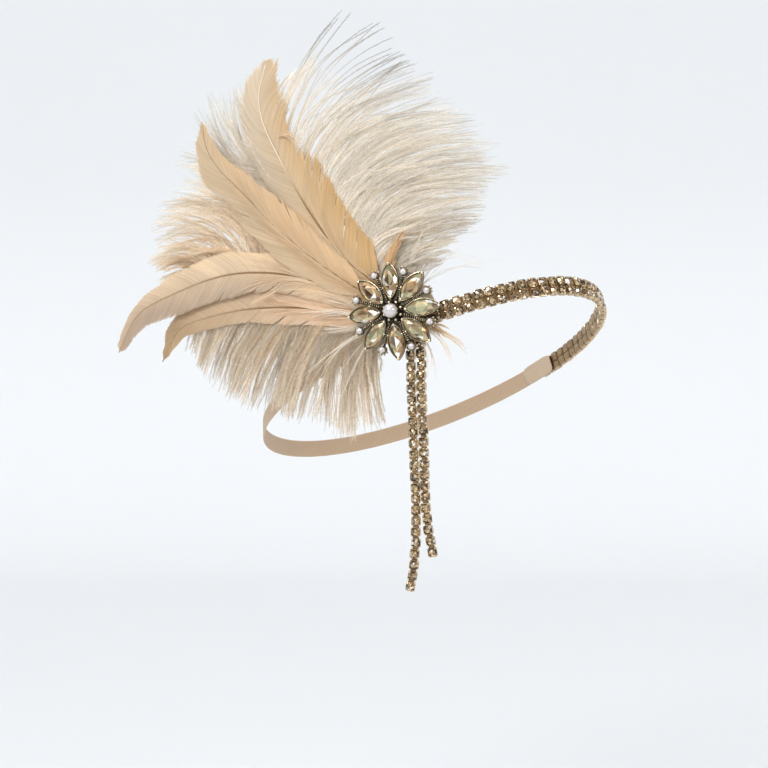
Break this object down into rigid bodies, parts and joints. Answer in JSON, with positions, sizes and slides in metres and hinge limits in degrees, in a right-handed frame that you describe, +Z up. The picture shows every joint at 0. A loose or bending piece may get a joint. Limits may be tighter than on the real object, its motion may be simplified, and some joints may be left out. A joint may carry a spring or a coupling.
{
  "type": "flapper headband",
  "caption": "Rhinestone flapper headband with a jewelled flower brooch at the right temple, hanging stone strands, trimmed feathers and ostrich plumes.",
  "frame": {"origin": "middle of the head loop, where the wearer's head sits", "axes": "+X the wearer's front, +Y the wearer's left, +Z up out of the crown"},
  "size_m": [0.2262, 0.1784, 0.2787],
  "materials": {
    "chain_metal": "polished champagne gold cups",
    "crystal": "clear champagne cut glass with a faint rainbow coat",
    "antique_metal": "antiqued, dark in the recesses",
    "pearl": "pearl lustre",
    "elastic": "ribbed woven elastic",
    "felt": "felt",
    "feather": "soft feather vane with a faint sheen",
    "plume": "matt fluffy ostrich plume"
  },
  "bodies": {
    "root": {"band_row_upper": "chain_metal", "band_row_lower": "chain_metal", "back_elastic": "elastic", "end_tab": "felt", "felt_pad": "felt", "brooch_frame": "antique_metal", "centre_pearl": "pearl", "petal_stone_1": "crystal", "petal_stone_2": "crystal", "petal_stone_3": "crystal", "petal_stone_4": "crystal", "petal_stone_5": "crystal", "petal_stone_6": "crystal", "petal_stone_7": "crystal", "petal_stone_8": "crystal", "accent_pearl_1": "pearl", "accent_pearl_2": "pearl", "accent_pearl_3": "pearl", "accent_pearl_4": "pearl", "accent_pearl_5": "pearl", "accent_pearl_6": "pearl", "accent_pearl_7": "pearl", "accent_pearl_8": "pearl", "strand_long": "chain_metal", "strand_short": "chain_metal", "feather_upright": "feather", "feather_middle": "feather", "feather_upper_left": "feather", "feather_lower_left": "feather", "tuft_feather": "feather", "plume_upright": "plume", "plume_left": "plume"}
  },
  "joints": []
}
